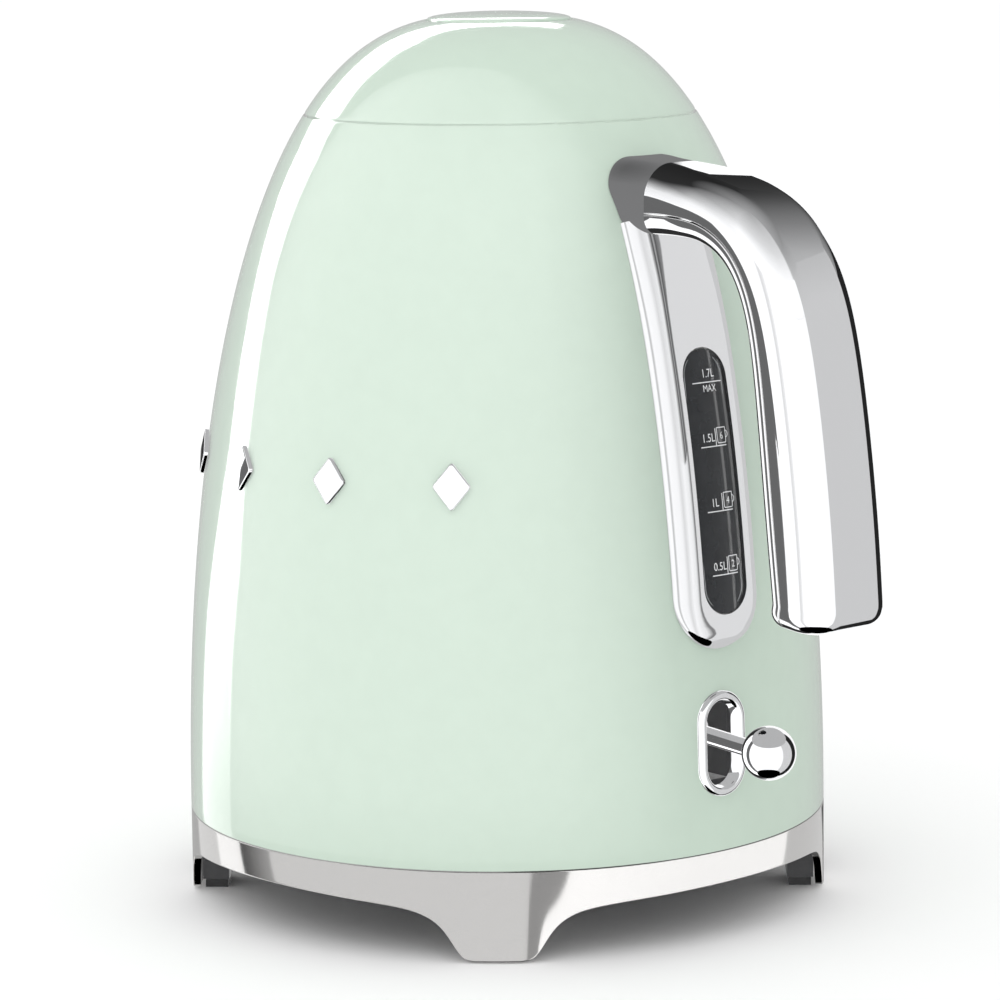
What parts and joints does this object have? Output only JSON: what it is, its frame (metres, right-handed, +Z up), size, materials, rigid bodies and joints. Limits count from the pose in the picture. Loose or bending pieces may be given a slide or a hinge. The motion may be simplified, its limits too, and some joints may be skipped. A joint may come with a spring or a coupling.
{
  "type": "cordless electric kettle",
  "caption": "Domed cordless electric kettle with a hinged lid, a side handle over a water gauge and a ball-ended switch lever, on a footed power base that it swivels on.",
  "frame": {"origin": "under the middle of the whole object's box, on the surface that the feet stand on", "axes": "+Z up, +X towards the handle, spout towards -X; the kettle's own axis stands 25.65 mm behind the origin, at x = -0.02565"},
  "size_m": [0.2314, 0.1802, 0.248],
  "materials": {
    "mint_paint": "gloss pastel green enamel",
    "chrome": "mirror polished",
    "steel": "fine satin",
    "black_plastic": "fine matt",
    "grey_plastic": "moulded satin",
    "smoked_plastic": "smoked, clear gloss",
    "brass": "plain",
    "silicone": "matt",
    "rubber": "matt"
  },
  "bodies": {
    "power_base": {"base_ring": "steel", "base_deck": "black_plastic", "base_floor": "black_plastic", "base_connector": "black_plastic", "cord_gland": "rubber", "foot_pad_1": "rubber", "foot_pad_2": "rubber", "foot_pad_3": "rubber", "foot_pad_4": "rubber", "base_screw_1": "steel", "base_screw_2": "steel", "base_screw_3": "steel"},
    "centre_contact": {"contact_pin": "brass"},
    "kettle": {"outer_shell": "mint_paint", "bottom_cover": "black_plastic", "cover_screw_1": "steel", "cover_screw_2": "steel", "cover_screw_3": "steel", "kettle_connector": "grey_plastic", "thermostat_block": "grey_plastic", "heater_plate": "steel", "plate_seal": "silicone", "heating_element": "steel", "neck_ring": "grey_plastic", "hinge_bracket": "steel", "hinge_pin": "steel", "spout": "chrome", "spout_filter": "grey_plastic", "handle_shell": "chrome", "handle_lining": "chrome", "handle_screw_1": "steel", "handle_screw_2": "steel", "gauge_trim": "chrome", "gauge_window": "smoked_plastic", "gauge_seal": "silicone", "switch_frame": "chrome", "switch_housing": "black_plastic", "switch_pivot_pin": "steel", "badge_1": "chrome", "badge_2": "chrome", "badge_3": "chrome", "badge_4": "chrome"},
    "lid": {"lid_dome": "mint_paint", "lid_plate": "grey_plastic", "lid_arm_1": "grey_plastic", "lid_arm_2": "grey_plastic", "lid_seal": "silicone", "button_guide": "grey_plastic", "button_spring": "steel"},
    "button": {"lid_button": "mint_paint"},
    "latch": {"lid_latch": "steel"},
    "lever": {"lever_arm": "chrome", "lever_knob": "chrome"}
  },
  "joints": [
    {"name": "base_swivel", "type": "hinge", "parent": "power_base", "child": "centre_contact", "pos_m": [-0.02565, 0, 0.025], "axis": [0, 0, 1], "continuous": true},
    {"name": "kettle_lift", "type": "slide", "parent": "centre_contact", "child": "kettle", "axis": [0, 0, 1], "range_m": [0, 0.08]},
    {"name": "lid_hinge", "type": "hinge", "parent": "kettle", "child": "lid", "pos_m": [0.01925, 0, 0.223], "axis": [0, 1, 0], "range_deg": [0, 75]},
    {"name": "button_press", "type": "slide", "parent": "lid", "child": "button", "axis": [0, 0, -1], "range_m": [0, 0.0025], "stiffness_N_per_m": 400, "springref_m": -0.002, "deforming": ["button_spring"]},
    {"name": "latch_slide", "type": "slide", "parent": "lid", "child": "latch", "axis": [1, 0, 0], "range_m": [0, 0.0025]},
    {"name": "switch_lever", "type": "hinge", "parent": "kettle", "child": "lever", "pos_m": [0.05035, 0, 0.0565], "axis": [0, 1, 0], "range_deg": [0, 24]}
  ],
  "couplings": [
    {"joint": "latch_slide", "follows": "button_press", "ratio": 1}
  ]
}
